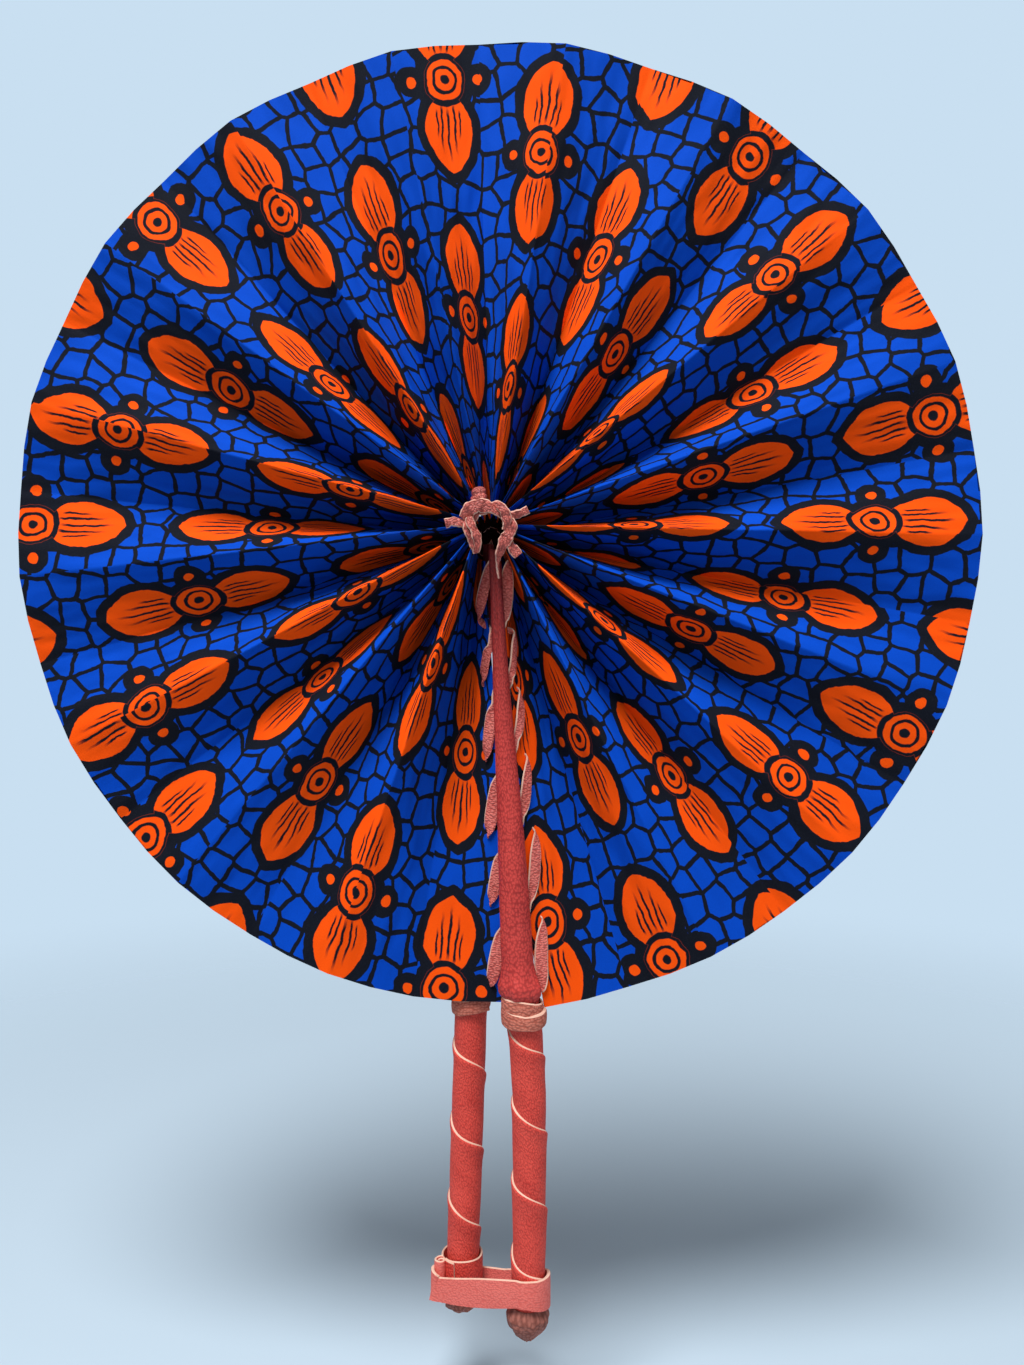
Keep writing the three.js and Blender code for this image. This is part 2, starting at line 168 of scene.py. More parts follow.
def grid(name, points, materials, uv=None, closed=False, pick=None, sharp=40, flip=False):
    """A mesh from rows of points in millimetres. closed joins last column to first and caps the ends.

    uv has one more column than points when closed. pick gives a face's material from its row and column."""
    points = np.asarray(points, float)
    rows, count = points.shape[:2]
    across = count if closed else count - 1
    places = [(i, j) for i in range(rows - 1) for j in range(across)]
    corners = [[(i, j), (i, j + 1), (i + 1, j + 1), (i + 1, j)] for i, j in places]
    kinds = [pick(i, j) if pick else 0 for i, j in places]
    if closed:
        corners += [[(0, j) for j in reversed(range(count))], [(rows - 1, j) for j in range(count)]]
        kinds += [len(materials) - 1] * 2
    if flip:
        corners = [face[::-1] for face in corners]
    faces = [[r * count + c % count for r, c in face] for face in corners]
    mesh = bpy.data.meshes.new(name)
    mesh.from_pydata((points.reshape(-1, 3) * MM).tolist(), [], faces)
    if uv is not None:
        layer = mesh.uv_layers.new(name="cut")
        flat = [uv[r][c] for face in corners for r, c in face]
        layer.data.foreach_set("uv", np.asarray(flat, float).ravel())
    for material in materials:
        mesh.materials.append(material)
    mesh.polygons.foreach_set("material_index", kinds)
    mesh.polygons.foreach_set("use_smooth", [True] * len(faces))
    mesh.update()
    mesh.set_sharp_from_angle(angle=math.radians(sharp))
    return add_object(name, mesh)


def along(points):
    """Distance along a line of points."""
    steps = np.linalg.norm(np.diff(points, axis=0), axis=1)
    return np.concatenate([[0.0], np.cumsum(steps)])


def curve_through(table, step=0.3):
    """Even steps on a smooth curve through rows that start with a place; the rest of a row goes with it."""
    table = np.asarray(table, float)
    padded = np.vstack([2 * table[0] - table[1], table, 2 * table[-1] - table[-2]])
    dense = []
    for i in range(1, len(padded) - 2):
        a, b, c, d = padded[i - 1 : i + 3]
        for t in np.linspace(0, 1, 20, endpoint=False):
            bend = (2 * a - 5 * b + 4 * c - d) * t**2
            twist = (3 * b - a - 3 * c + d) * t**3
            dense.append((2 * b + (c - a) * t + bend + twist) / 2)
    dense = np.array(dense + [table[-1]])
    place = along(dense[:, :2])
    even = np.linspace(0, place[-1], max(4, int(place[-1] / step) + 1))
    return columns(*(np.interp(even, place, column) for column in dense.T))


# Columns of a strip's section: its two cut edges and its underside.
NEAR_EDGE = (5, 6)
FAR_EDGE = (12, 13)
UNDERSIDE = (7, 8, 9, 10, 11)
# How far the underside's place in the hide lies from the face's.
UNDERSIDE_AWAY = 20
# Directions round a stick.
ROUND = np.linspace(0, math.tau, 64, endpoint=False)


def thong_shape(centre, up, width, thick, crown, edge):
    """Sections of a flat strip along centre, facing up, with slanted cut edges, and places in the hide."""
    forward = unit(np.gradient(centre, axis=0))
    across = unit(np.cross(forward, up))
    up = unit(np.cross(across, forward))
    half = np.maximum(width / 2, 0.15)
    flat = half - np.minimum(edge, half * 0.5)
    shares = (-1.0, -0.6, -0.2, 0.2, 0.6, 1.0)
    section = [(share * flat, thick / 2 + crown * (1 - share * share)) for share in shares]
    section += [(half, 0.0), *((share * flat, -thick / 2) for share in reversed(shares)), (-half, 0.0)]
    points = np.stack([centre + across * side[:, None] + up * lift for side, lift in section], axis=1)
    uv = []
    for j, (side, _) in enumerate([*section, section[0]]):
        uv.append(columns(along(centre), side + (0 if j < UNDERSIDE[0] else UNDERSIDE_AWAY)))
    return points, np.stack(uv, axis=1)


def thong_piece(name, points, uv, materials, pale):
    """A strip: its face in the first material, pale cut edges in the second, its underside in any third, a
    painted shade.
    """

    def kind(_, column):
        if column in pale:
            return 1
        return 2 if column in UNDERSIDE and len(materials) > 2 else 0

    return grid(name, points, materials, uv=uv, closed=True, pick=kind, sharp=35)


def lengths(name, cuts, points, uv, materials, pale=NEAR_EDGE + FAR_EDGE):
    """One strip in lengths from cut to cut. Gives the number, first row and piece of each."""
    for number, (first, last) in enumerate(zip(cuts, cuts[1:])):
        rows = slice(first, last + 1)
        yield number, first, thong_piece(f"{name}_{number:02d}", points[rows], uv[rows], materials, pale)


def thong(name, centre, up, width, thick, hide, crown, edge):
    """A flat strip of one leather along centre, facing up, with a pale far edge."""
    points, uv = thong_shape(centre, up, width, thick, crown, edge)
    return thong_piece(name, points, uv, [hide, EDGE], FAR_EDGE)


def tube(name, rings, distance, radius, material, sharp):
    """A closed tube of leather: rings of points, the distance of each along the hide, and a radius."""
    uv = [columns(place, radius * np.append(ROUND, math.tau)) for place in distance]
    return grid(name, rings, [material], uv=uv, closed=True, sharp=sharp)


def add_node(tree, kind, inputs=()):
    """A new shader node. inputs are pairs of an input's name or number and a constant or a Field."""
    node = tree.nodes.new(kind)
    for name, value in inputs:
        if isinstance(value, Field):
            tree.links.new(value.socket, node.inputs[name])
        else:
            node.inputs[name].default_value = value
    return node


class Field:
    """A value or colour that varies over a surface: an output of a shader node that can be reckoned with."""

    def __init__(self, tree, socket):
        self.tree = tree
        self.socket = socket

    def math(self, operation, *others):
        node = add_node(self.tree, "ShaderNodeMath", enumerate((self, *others)))
        node.operation = operation
        return Field(self.tree, node.outputs[0])

    def __add__(self, other):
        return self.math("ADD", other)

    def __sub__(self, other):
        return self.math("SUBTRACT", other)

    def __mul__(self, other):
        return self.math("MULTIPLY", other)

    def minimum(self, other):
        return self.math("MINIMUM", other)

    def maximum(self, other):
        return self.math("MAXIMUM", other)

    def share(self):
        """Held between 0 and 1."""
        return self.maximum(0.0).minimum(1.0)

    def absolute(self):
        return self.math("ABSOLUTE")

    def floor(self):
        return self.math("FLOOR")

    def wrap(self, size):
        """The remainder from a division by size, from minus half of it to half of it."""
        return self - (self * (1 / size) + 0.5).floor() * size

    def length(self, other):
        return (self * self + other * other).math("SQRT")

    def step(self, low, high):
        """0 below low and 1 above high, or the other way round where low is the larger."""
        rising = low < high
        inputs = (
            ("Value", self),
            ("From Min", min(low, high)),
            ("From Max", max(low, high)),
            ("To Min", float(not rising)),
            ("To Max", float(rising)),
        )
        node = add_node(self.tree, "ShaderNodeMapRange", inputs)
        node.interpolation_type = "SMOOTHSTEP"
        return Field(self.tree, node.outputs["Result"])


def parts(tree, vector):
    """The three numbers of a vector."""
    node = add_node(tree, "ShaderNodeSeparateXYZ", ((0, Field(tree, vector)),))
    return [Field(tree, output) for output in node.outputs]


def screen(red, green, blue):
    """The shader's (r, g, b, a) of a colour that is written as it shows on a screen, 0 to 255."""
    shares = (red / 255, green / 255, blue / 255)
    linear = [share / 12.92 if share <= 0.04045 else ((share + 0.055) / 1.055) ** 2.4 for share in shares]
    return (*linear, 1.0)


def new_material(name, roughness, specular):
    """A new material, its node tree and its shader."""
    material = bpy.data.materials.new(name)
    material.use_nodes = True
    shader = material.node_tree.nodes["Principled BSDF"]
    shader.inputs["Roughness"].default_value = roughness
    shader.inputs["Specular IOR Level"].default_value = specular
    return material, material.node_tree, shader


class Paint:
    """A procedural material in the making. Its coordinates are the piece's cut size in millimetres."""

    def __init__(self, name, roughness, specular):
        self.material, self.tree, self.shader = new_material(name, roughness, specular)
        coordinates = add_node(self.tree, "ShaderNodeUVMap")
        coordinates.uv_map = "cut"
        self.u, self.v, _ = parts(self.tree, coordinates.outputs["UV"])

    def point(self, *place):
        return Field(self.tree, add_node(self.tree, "ShaderNodeCombineXYZ", enumerate(place)).outputs[0])

    def noise(self, u, v, w, detail=2.0):
        """Noise from 0 to 1 with features about one unit across."""
        inputs = (("Vector", self.point(u, v, w)), ("Scale", 1.0), ("Detail", detail))
        return Field(self.tree, add_node(self.tree, "ShaderNodeTexNoise", inputs).outputs["Fac"])

    def cells(self, u, v, random, feature="F1"):
        """Distances in a flat pattern of cells about one unit across."""
        inputs = (("Vector", self.point(u, v)), ("Scale", 1.0), ("Randomness", random))
        node = add_node(self.tree, "ShaderNodeTexVoronoi", inputs)
        node.voronoi_dimensions = "2D"
        node.feature = feature
        return Field(self.tree, node.outputs["Distance"])

    def mix(self, first, second, share):
        """A colour between two others, each a Field or as it shows on a screen."""
        first, second = (side if isinstance(side, Field) else screen(*side) for side in (first, second))
        node = add_node(self.tree, "ShaderNodeMix", (("Factor", share), (6, first), (7, second)))
        node.data_type = "RGBA"
        return Field(self.tree, node.outputs[2])

    def finish(self, colour, height, depth, roughness=None):
        """Sets the colour, a bump of that height times depth in millimetres, and a varying roughness."""
        inputs = (("Strength", 1.0), ("Distance", depth * MM), ("Height", height))
        bump = add_node(self.tree, "ShaderNodeBump", inputs)
        self.tree.links.new(bump.outputs["Normal"], self.shader.inputs["Normal"])
        self.tree.links.new(colour.socket, self.shader.inputs["Base Color"])
        if roughness is not None:
            self.tree.links.new(roughness.socket, self.shader.inputs["Roughness"])
        return self.material


# Print: an even crackle of cells on blue, with rows of black-outlined leaf sprays in orange.
BLUE = (4, 77, 203)
BLUE_DEEP = (1, 58, 160)
ORANGE = (255, 92, 12)
ORANGE_DEEP = (240, 70, 6)
INK = (16, 19, 28)
INK_WORN = (34, 38, 48)
THREAD = 0.62
SPRAY_COLUMN = 42.0
SPRAY_REPEAT = 84.0
SPRAY_OUTLINE = 3.8
CELL = 9.8
CELL_LINE = 0.8
CELL_RANDOM = 0.6


def spray(across, length):
    """Signed distance from the orange of one leaf spray, and how much ink is drawn inside it."""
    side = across.absolute()
    rise = length.absolute()
    disc = side.length(length * 0.92) - 8.0
    leaf = (side + 5.5).length(rise - 18.5) - 15.5
    bud = (side - 13.0).length(length) - 1.9
    shape = disc.minimum(leaf).minimum(bud)
    ring = (side.length(length) - 4.6).absolute().step(0.75, 0.45)
    dot = side.length(length).step(2.0, 1.6)
    gap = (disc.absolute() - 0.1).step(1.1, 0.8)
    reach = rise.step(8.5, 11.0) * rise.step(27.5, 20.0)
    vein = side.step(0.65, 0.35) * rise.step(9.0, 13.0) * rise.step(30.0, 24.0)
    stroke = (side - 2.5 - (rise - 12.0) * 0.06).absolute().step(0.6, 0.3) * reach
    short = (side - 4.6 - (rise - 12.0) * 0.04).absolute().step(0.5, 0.25)
    short = short * rise.step(10.0, 12.0) * rise.step(21.0, 17.5)
    ink = ring.maximum(dot).maximum(gap).maximum(vein).maximum(stroke).maximum(short)
    return shape, ink


def printed_cotton():
    paint = Paint("printed_cotton", roughness=0.8, specular=0.06)
    u, v = paint.u, paint.v
    wobble_u = (paint.noise(u * 0.09, v * 0.09, 3.0) - 0.5) * 3.2
    wobble_v = (paint.noise(u * 0.09, v * 0.09, 9.0) - 0.5) * 3.2
    fine = (paint.noise(u * 0.6, v * 0.6, 5.0) - 0.5) * 0.5
    drawn_u = u + wobble_u + fine
    drawn_v = v + wobble_v + fine
    column = (drawn_u * (1 / SPRAY_COLUMN)).floor()
    across = (drawn_u - column * SPRAY_COLUMN) - SPRAY_COLUMN / 2
    shift = column.wrap(3.0) * (SPRAY_REPEAT / 3)
    length = (drawn_v + shift + 6.0).wrap(SPRAY_REPEAT)
    shape, ink = spray(across, length)
    crackle = paint.cells(drawn_u * (1 / CELL), drawn_v * (1 / CELL), CELL_RANDOM, "DISTANCE_TO_EDGE")
    line = crackle.step((CELL_LINE + 0.14) / CELL, (CELL_LINE - 0.1) / CELL)
    dye = paint.noise(u * 0.05, v * 0.05, 1.0, detail=4.0)
    grain = paint.noise(u * 1.1, v * 4.4, 2.0, detail=3.0) * 0.5
    grain = grain + paint.noise(u * 4.4, v * 1.1, 4.0, detail=3.0) * 0.5
    ground = paint.mix(BLUE_DEEP, BLUE, (dye * 0.5 + grain * 0.9 - 0.2).share())
    petals = paint.mix(ORANGE_DEEP, ORANGE, (dye * 0.4 + grain * 0.9 - 0.15).share())
    inks = paint.mix(INK, INK_WORN, grain.step(0.45, 0.75) * 0.6)
    colour = paint.mix(ground, inks, line)
    outline = shape.step(SPRAY_OUTLINE + 0.15, SPRAY_OUTLINE - 0.15)
    colour = paint.mix(colour, inks, outline)
    colour = paint.mix(colour, petals, shape.step(0.12, -0.12))
    colour = paint.mix(colour, inks, ink * shape.step(0.12, -0.12))
    weave = (u * (math.tau / THREAD)).math("SINE") * (v * (math.tau / THREAD)).math("SINE")
    ripple = paint.noise(u * 0.10, v * 0.035, 7.0, detail=1.0)
    height = weave * 0.012 + grain * 0.10 + ripple * 2.4
    return paint.finish(colour, height, depth=1.0)


# Places along a piece, from its top, between which its painted shade at the hub turns into its own colour.
HUB_SHADE_SPAN = (-78.0, -4.0)


def leather(
    name, light, dark, grain, stretch, roughness=0.6, patch=0.35, depth=0.12, specular=0.25, fade=None
):
    """Grained leather: small pebbles drawn out along the strip, worn lighter on their tops.

    fade gives the two colours of painted shade at the hub, where a piece lies deep between the folds;
    further down it turns to light and dark."""
    paint = Paint(name, roughness=roughness, specular=specular)
    u, v = paint.u, paint.v
    bend = (paint.noise(u * 0.4, v * 0.4, 3.0) - 0.5) * 1.2
    pebble = paint.cells((u + bend) * (1 / (grain * stretch)), (v + bend) * (1 / grain), 0.9)
    tops = pebble.step(0.75, 0.1)
    broad = paint.noise(u * 0.08, v * 0.12, 5.0, detail=3.0)
    fibre = paint.noise(u * 2.2, v * 2.2, 8.0, detail=3.0)
    share = (tops * 0.55 + (broad - 0.5) * patch * 2.0 + (fibre - 0.5) * 0.5 + 0.2).share()
    colour = paint.mix(dark, light, share)
    # Painted shade: the colour darkens towards the hub.
    if fade:
        colour = paint.mix(colour, paint.mix(fade[1], fade[0], share), u.step(*HUB_SHADE_SPAN))
    height = tops + fibre * 0.5 + broad * 3.0
    gloss = (fibre * 0.2 + tops * -0.08 + roughness).minimum(1.0)
    return paint.finish(colour, height, depth=depth, roughness=gloss)


def cut_edge(name, light, dark):
    """The pale fibrous edge of cut leather."""
    paint = Paint(name, roughness=0.8, specular=0.2)
    fibre = paint.noise(paint.u * 1.4, paint.v * 5.0, 2.0, detail=3.0)
    broad = paint.noise(paint.u * 0.15, paint.v * 0.3, 6.0)
    colour = paint.mix(dark, light, (fibre * 0.6 + broad * 0.9 - 0.2).share())
    return paint.finish(colour, fibre, depth=0.12)


def wood():
    paint = Paint("stick_wood", roughness=0.6, specular=0.3)
    place = add_node(paint.tree, "ShaderNodeTexCoord")
    x, y, z = parts(paint.tree, place.outputs["Object"])
    grain = paint.noise(x * 1500.0, y * 1500.0, z * 60.0, detail=4.0)
    broad = paint.noise(x * 300.0, y * 300.0, z * 15.0)
    colour = paint.mix((150, 112, 70), (205, 168, 118), (grain * 0.7 + broad * 0.4).minimum(1.0))
    return paint.finish(colour, grain, depth=0.15)


COTTON = printed_cotton()
# Painted shade: the sleeve darkens towards the hub, where it lies deep between the folds.
SLEEVE_HUB_SHADE = ((128, 32, 32), (74, 14, 16))
SLEEVE = leather("sleeve_leather", (220, 76, 68), (146, 36, 35), 0.9, 1.4, 0.5, depth=0.10, fade=SLEEVE_HUB_SHADE)
HANDLE = leather("handle_leather", (240, 88, 74), (186, 52, 44), 1.0, 0.5, patch=0.45, depth=0.15)
STRAP = leather("strap_leather", (240, 122, 110), (216, 94, 84), 0.7, 1.3, patch=0.3, depth=0.08)
LACE = leather("lace_leather", (240, 134, 122), (164, 58, 52), 1.3, 0.5, patch=0.55, depth=0.18)
COLLAR = leather("collar_suede", (214, 128, 108), (156, 72, 56), 0.85, 1.5, 0.78, 0.35, 0.16)
CAP = leather("cap_leather", (172, 106, 92), (108, 56, 46), 1.1, 1.3, 0.7, 0.5, 0.22)
HUB = leather("hub_leather", (214, 104, 90), (118, 38, 34), 0.7, 1.3, 0.42, 0.8, 0.2, 0.45)
# Painted shade: near-black leather for the back lace's underside, which lies in the shade of the hub hole.
HUB_PAINTED_SHADE = leather("hub_leather_painted_shade", (50, 30, 26), (24, 14, 12), 0.8, 1.3, 0.9, specular=0.02)
EDGE = cut_edge("cut_edge", (240, 205, 184), (200, 146, 124))
HUB_EDGE = cut_edge("hub_cut_edge", (240, 200, 180), (186, 118, 102))
WOOD = wood()


# Leaf

def hub_angle(k):
    return math.radians(lerp(*HUB_SPAN, (k - 1) / (FOLDS - 2)))


def crease_ends(k):
    """The crease's ends at the hub and at the rim."""
    if k in FREE_EDGES:
        return np.array(FREE_EDGES[k])
    way = 1 if k % 2 else -1
    hub = outward(hub_angle(k)) * HUB_START
    hub[1] = way * FOLD_DEPTH_HUB / 2
    # The rim's own centre is a little above and to the right of the hub.
    rim = np.array([RIM_CENTRE[0], 0.0, RIM_CENTRE[1]])
    rim += outward(math.radians(RIM_STEP * k)) * (RIM_RADIUS + way * RIM_EVEN)
    rim[1] = way * FOLD_DEPTH_RIM / 2
    return hub, rim


LEAF_ROWS = 61
LEAF_SHARE = np.linspace(0, 1, LEAF_ROWS)
LEAF_COLUMNS = 10
LEAF_BEND = 0.02
CREASE_EASE = 0.22
# How far each free edge is drawn in under the fold beside it: shares of its length, and the distance in x.
EDGE_DRAWN = {
    0: ((0.0, 0.25, 0.5, 0.8, 1.0), (0.3, 1.2, 2.0, 1.6, 0.3)),
    FOLDS: ((0.0, 0.25, 0.5, 0.75, 0.85, 0.9, 0.95, 1.0), (-1.0, -1.5, -1.9, -2.3, -2.9, -2.5, -1.2, -0.6)),
}


def crease_line(k):
    """The crease as points from hub to rim, with the small waves in depth of a hand-pressed fold."""
    hub, rim = crease_ends(k)
    line = hub + (rim - hub) * LEAF_SHARE[:, None]
    if 0 < k < FOLDS:
        way = 1 if k % 2 else -1
        wave = 0.5 * np.sin(5.1 * LEAF_SHARE + 0.4 * k) + 0.25 * np.sin(14.0 * LEAF_SHARE + 0.9 * k)
        line[:, 1] += way * wave * np.sin(math.pi * LEAF_SHARE)
    else:
        line[:, 0] += np.interp(LEAF_SHARE, *EDGE_DRAWN[k])
    return line


CREASES = [crease_line(k) for k in range(FOLDS + 1)]


def panel_middle(k):
    a, b = CREASES[k], CREASES[k + 1]
    middle = (a + b) / 2
    flat = middle * np.array([1, 0, 1])
    return middle + unit(flat) * (RIM_CROWN * LEAF_SHARE)[:, None]


def panel_normal(k):
    """Directions out of the printed front of piece k of the cloth, one at each row."""
    across = CREASES[k + 1] - CREASES[k]
    radial = np.gradient(panel_middle(k), axis=0)
    normal = unit(np.cross(across, radial))
    return normal if normal[-1][1] < 0 else -normal


PANEL_NORMALS = [panel_normal(k) for k in range(FOLDS)]


def crease_normal(k):
    """The mean direction out of the cloth on a crease's two sides, or out of its one side at a free edge."""
    return unit(PANEL_NORMALS[max(k - 1, 0)] + PANEL_NORMALS[min(k, FOLDS - 1)])


def body_at(k):
    """The body that carries crease k; the free edges lie on the sticks."""
    return {0: "left_stick", FOLDS: "right_stick"}.get(k, f"crease_{k:02d}")


def blend_direction(k):
    """The direction in which piece k passes from one crease's movement to the other's."""
    depth = 1.0 if k % 2 == 0 else -1.0
    if k in (0, FOLDS - 1):
        return unit(np.array([-1.0, depth, 0.0]))
    middle = panel_middle(k)
    radial = unit(middle[-1] - middle[0])
    side = unit(np.cross(radial, np.array([0.0, 1.0, 0.0])))
    if side @ (CREASES[k + 1][-1] - CREASES[k][-1]) < 0:
        side = -side
    return unit(side + np.array([0.0, depth, 0.0]))


def blend_panel(piece, k):
    """Works out the span along the blend direction between crease k and crease k + 1, and bakes the piece's
    place into its mesh.
    """
    d = blend_direction(k)
    start = np.max(CREASES[k] @ d)
    end = np.min(CREASES[k + 1] @ d)
    if 0 < k < FOLDS - 1:
        centre = np.mean(panel_middle(k) @ d)
        reach = min(centre - start, end - centre)
        start, end = centre - reach, centre + reach
    tuple(d * start * MM)
    tuple(d * end * MM)
    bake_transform(piece)


def leaf_piece(k):
    a, b = CREASES[k], CREASES[k + 1]
    middle = panel_middle(k)
    normal = PANEL_NORMALS[k]
    half = CLOTH / 2
    spots = [
        (a, crease_normal(k), 0.0),
        (lerp(a, middle, 2 * LEAF_BEND), normal, LEAF_BEND),
        (middle, normal, 0.5),
        (lerp(b, middle, 2 * LEAF_BEND), normal, 1 - LEAF_BEND),
        (b, crease_normal(k + 1), 1.0),
    ]
    front = [place + out * half for place, out, _ in spots]
    back = [place - out * half for place, out, _ in reversed(spots)]
    points = np.stack(front + back, axis=1)
    radius = HUB_START + LEAF_SHARE * np.linalg.norm(b[-1] - b[0])
    shares = [share for _, _, share in spots]
    shares = shares + shares[::-1] + [0.0]
    uv = np.stack([columns((k + share) * FOLD_WIDTH, radius) for share in shares], axis=1)
    turned = np.cross(points[-1][2] - points[-1][0], points[-1][2] - points[-2][2])
    flip = turned @ normal[-1] < 0
    piece = grid(f"leaf_{k:02d}", points, [COTTON], uv=uv, closed=True, sharp=180, flip=flip)
    soften(piece, k, normal)
    blend_panel(piece, k)
    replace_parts(piece, f"panel_{k:02d}")
    width = np.linalg.norm(b - a, axis=1).mean() * MM
    length = np.linalg.norm(middle[-1] - middle[0]) * MM


def soften(piece, k, normal):
    """Normals that turn gently into each crease, the same on both sides of it."""
    first, last = crease_normal(k), crease_normal(k + 1)
    eased = [unit(lerp(normal, crease, CREASE_EASE)) for crease in (first, last)]
    front = (first, eased[0], normal, eased[1], last)
    wanted = front + tuple(-rows for rows in reversed(front))
    mesh = piece.data
    normals = []
    for polygon in mesh.polygons:
        own = tuple(polygon.normal)
        places = [divmod(v, LEAF_COLUMNS) for v in polygon.vertices]
        sides = {column < len(front) for _, column in places}
        whole = len(places) == 4 and len(sides) == 1
        for row, column in places:
            normals.append(tuple(wanted[column][row]) if whole else own)
    mesh.normals_split_custom_set(normals)


for fold in range(FOLDS):
    leaf_piece(fold)


# Sticks

def ring_points(stick, z, radius, angles):
    """Points round a stick. z, radius and angles are each one number or one for every point."""
    x = path_x(stick, z) + radius * np.cos(angles)
    y = stick["y"] + radius * np.sin(angles)
    return columns(x, y, z)


# The sleeve's lower end: height over its end, and how far its face stands outside the handle.
SLEEVE_MOUTH = ((12.0, -0.15), (8.0, 0.5), (4.5, 1.5), (2.0, 1.35), (0.6, 0.6), (-0.4, 0.25), (-1.5, 0.15))


def sleeve(side):
    """Leather tube inside the leaf: drawn tight at the hub, puckered and flared above the collar."""
    stick = STICKS[side]
    hub, hand, top = stick["hub"], stick["hand"], stick["sleeve_top"]
    mouth = np.array(SLEEVE_MOUTH)
    mouth_top, mouth_end = SLEEVE_END + mouth[0, 0], SLEEVE_END + mouth[-1, 0]
    above = np.linspace(top, mouth_top, 70, endpoint=False)
    levels = np.concatenate([above, np.linspace(mouth_top, mouth_end, 34)])
    rings, places = [ring_points(stick, top - 0.15, hub - 0.5, ROUND)], [0.5]
    front = (ROUND - 1.42 * math.pi) / 0.3
    for z in levels:
        t = np.clip((z - STICK_TOP) / (SLEEVE_END - STICK_TOP), 0, 1)
        over = z - SLEEVE_END
        radius = lerp(hub, hand - 0.15, smooth(t))
        flare = np.interp(-over, -mouth[:, 0], mouth[:, 1] + 0.15)
        open_share = smooth((mouth[0, 0] - over) / 9.0) * smooth((over - mouth[-1, 0]) / 3.0)
        folds = np.sin(5 * ROUND + 1.3 + 9 * t) + 0.6 * np.sin(9 * ROUND + 0.4 - 14 * t)
        rumple = np.sin(3 * ROUND + 23 * t) * np.sin(41 * t + 2 * ROUND)
        groove = 0.3 * np.exp(-(front**2)) * smooth(1 - t / 0.5)
        radius = radius * (1 + 0.02 * rumple - groove) + flare + open_share * 0.36 * folds
        rings.append(ring_points(stick, z, radius, ROUND))
        places.append(z - STICK_TOP)
    piece = tube(f"{side}_sleeve_leather", rings, places, hand, SLEEVE, sharp=60)
    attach(piece, stick["body"])
    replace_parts(piece, f"{side}_sleeve")


# The wound strip's section: distance below its upper cut edge, and its face's height over the handle there.
WRAP_SECTION = (
    (-0.5, -0.2), (-0.42, 0.05), (0.0, 0.36), (0.34, 0.58), (0.9, 0.62), (2.0, 0.5), (4.0, 0.26),
    (7.0, 0.08), (12.0, 0.0), (18.0, -0.02), (23.0, -0.04), (26.0, -0.08), (29.0, -0.35),
)
# How much less the wound strip falls across the front of a handle than across its back, halved.
WRAP_SWAY = 1.2
# How far above the wrap's level top the strip's first turn starts, and the sections in a turn.
WRAP_LEAD = 28
WRAP_STEPS = 56


def handle_wrap(side):
    """One strip of leather wound down the handle, each turn's upper edge lapped over the turn above it."""
    stick = STICKS[side]
    hand, pitch = stick["hand"], stick["pitch"]
    top = SLEEVE_END - 0.2
    start = (WRAP_FIRST - top - WRAP_LEAD) / pitch * math.tau
    last = (WRAP_FIRST - WRAP_END) / pitch * math.tau
    steps = int((last - start) / math.tau * WRAP_STEPS)
    below, lift = np.array(WRAP_SECTION).T
    rows, uv = [], []
    for turn in np.linspace(start, last, steps + 1):
        angle = stick["turn"] + turn
        drift = 0.35 * math.sin(1.7 * turn + stick["turn"]) + WRAP_SWAY * (1 + math.cos(angle))
        line = WRAP_FIRST - pitch * turn / math.tau + drift
        puff = np.where(below > 3, 0.12 * np.sin(2.1 * turn + 0.2 * below), 0.0)
        z = np.clip(line - below, WRAP_END, top)
        rows.append(ring_points(stick, z, hand + lift + puff, angle))
        uv.append(columns(turn * hand, below))
    materials = [HANDLE, EDGE]
    piece = grid(f"{side}_handle_leather", rows, materials, uv=uv, pick=lambda _, j: int(j < 2), flip=True)
    clean(piece)
    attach(piece, stick["body"])
    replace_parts(piece, f"{side}_handle_wrap")


def clean(piece):
    """Drops faces with no area, where a strip is cut off level."""
    work = bmesh.new()
    work.from_mesh(piece.data)
    bmesh.ops.dissolve_degenerate(work, dist=0.005 * MM, edges=work.edges)
    work.to_mesh(piece.data)
    work.free()


def wound(name, stick, table, thick, hide, crown=0.2):
    """A strip wound round a handle: rows of degrees, upper and lower edge, and height over the handle."""
    table = np.array(table, float)
    degrees = np.arange(table[0, 0], table[-1, 0] + 0.1, 5.0)
    top, bottom, out = (np.interp(degrees, table[:, 0], table[:, i]) for i in (1, 2, 3))
    for values in (top, bottom, out):
        values[1:-1] = (values[:-2] + 2 * values[1:-1] + values[2:]) / 4
    top = top + 0.15 * np.sin(np.radians(3.1 * degrees))
    bottom = bottom + 0.2 * np.sin(np.radians(4.3 * degrees + 40))
    middle = (top + bottom) / 2
    angles = np.radians(degrees)
    centre = ring_points(stick, middle, stick["hand"] + out, angles)
    up = columns(np.cos(angles), np.sin(angles), 0.0)
    piece = thong(name, centre, up, top - bottom, thick, hide, crown, edge=0.4)
    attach(piece, stick["body"])
    return piece


FOOT_END = WRAP_END - 0.8
